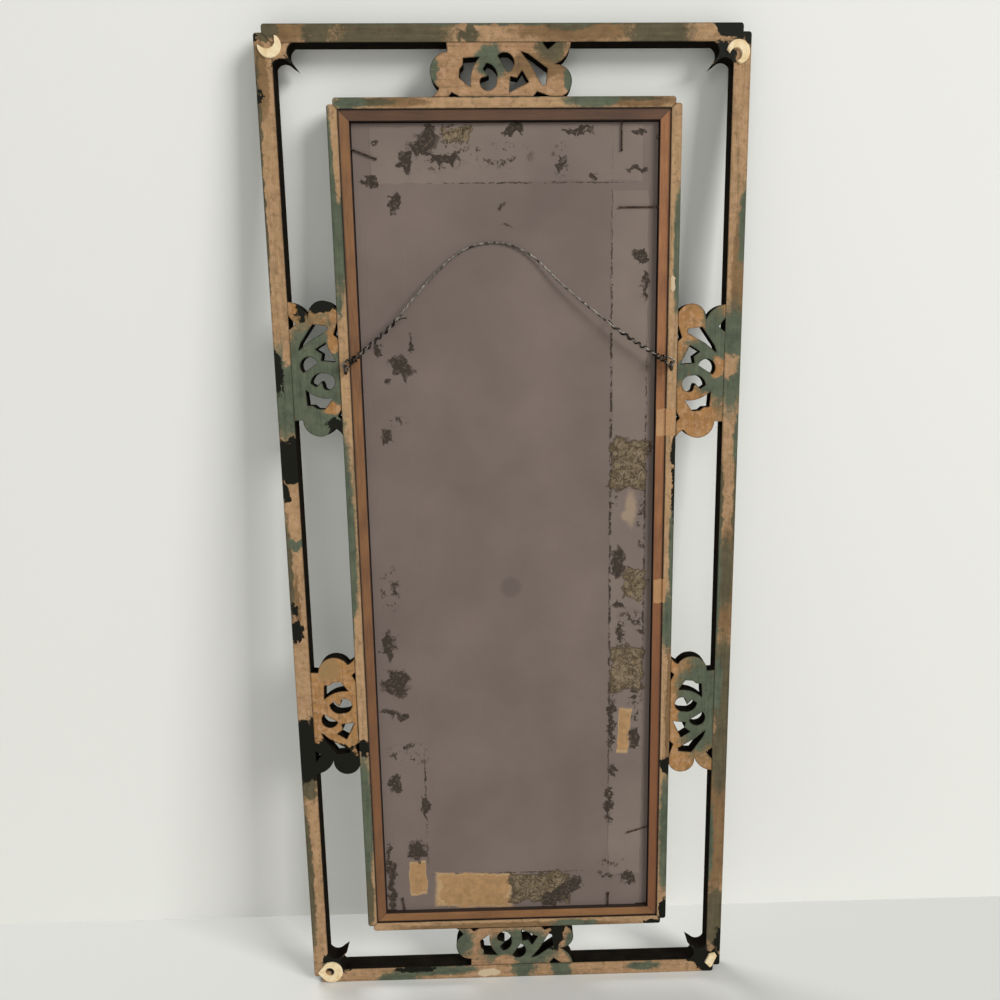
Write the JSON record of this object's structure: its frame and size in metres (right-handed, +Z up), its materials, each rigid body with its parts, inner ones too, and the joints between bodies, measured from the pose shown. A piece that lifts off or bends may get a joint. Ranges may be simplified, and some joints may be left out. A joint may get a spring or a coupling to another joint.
{
  "type": "lacquered wall mirror",
  "caption": "Tall wall mirror in a slim lacquered wood frame with pierced scroll frets round an inner frame, backed by a board and hung by a wire between screw eyes.",
  "frame": {"origin": "Middle of the bottom rail's underside, half way through the frame's depth.", "axes": "+Z is up, +Y is the way the mirror faces, the back with the hanging wire faces -Y, and +X is to the right seen from behind."},
  "size_m": [0.422, 0.0302, 0.914],
  "materials": {
    "lacquered_wood": "black lacquer in front, worn behind",
    "bare_wood": "bare, darkened",
    "joinery_wood": "bare",
    "mirror_glass": "silvered",
    "backing_board": "painted grey, worn",
    "steel_fixings": "dulled",
    "steel_wire": "twisted, tarnished",
    "pad_felt": "cream, torn"
  },
  "bodies": {
    "frame": {"backing_board": "backing_board", "bumper_pad_bottom_left": "pad_felt", "bumper_pad_bottom_right": "pad_felt", "bumper_pad_top_left": "pad_felt", "bumper_pad_top_right": "pad_felt", "corner_spur_bottom_left": "lacquered_wood", "corner_spur_bottom_right": "lacquered_wood", "corner_spur_top_left": "lacquered_wood", "corner_spur_top_right": "lacquered_wood", "fret_bottom": "lacquered_wood", "fret_dowels": "joinery_wood", "fret_left_lower": "lacquered_wood", "fret_left_upper": "lacquered_wood", "fret_right_lower": "lacquered_wood", "fret_right_upper": "lacquered_wood", "fret_top": "lacquered_wood", "inner_bottom_rail": "lacquered_wood", "inner_left_stile": "lacquered_wood", "inner_mitre_splines": "joinery_wood", "inner_right_stile": "lacquered_wood", "inner_top_rail": "lacquered_wood", "liner_bottom": "bare_wood", "liner_left": "bare_wood", "liner_right": "bare_wood", "liner_top": "bare_wood", "mirror_plate": "mirror_glass", "outer_bottom_rail": "lacquered_wood", "outer_left_stile": "lacquered_wood", "outer_mitre_splines": "joinery_wood", "outer_right_stile": "lacquered_wood", "outer_top_rail": "lacquered_wood", "retaining_brads": "steel_fixings", "screw_eye_left": "steel_fixings", "screw_eye_right": "steel_fixings"},
    "hanging_wire": {"hanging_wire": "steel_wire", "wire_wrap_left": "steel_wire", "wire_wrap_right": "steel_wire"}
  },
  "joints": [
    {"name": "wire_swing", "type": "hinge", "parent": "frame", "child": "hanging_wire", "pos_m": [0, -0.0155, 0.627], "axis": [1, 0, 0], "range_deg": [0, 190]}
  ]
}
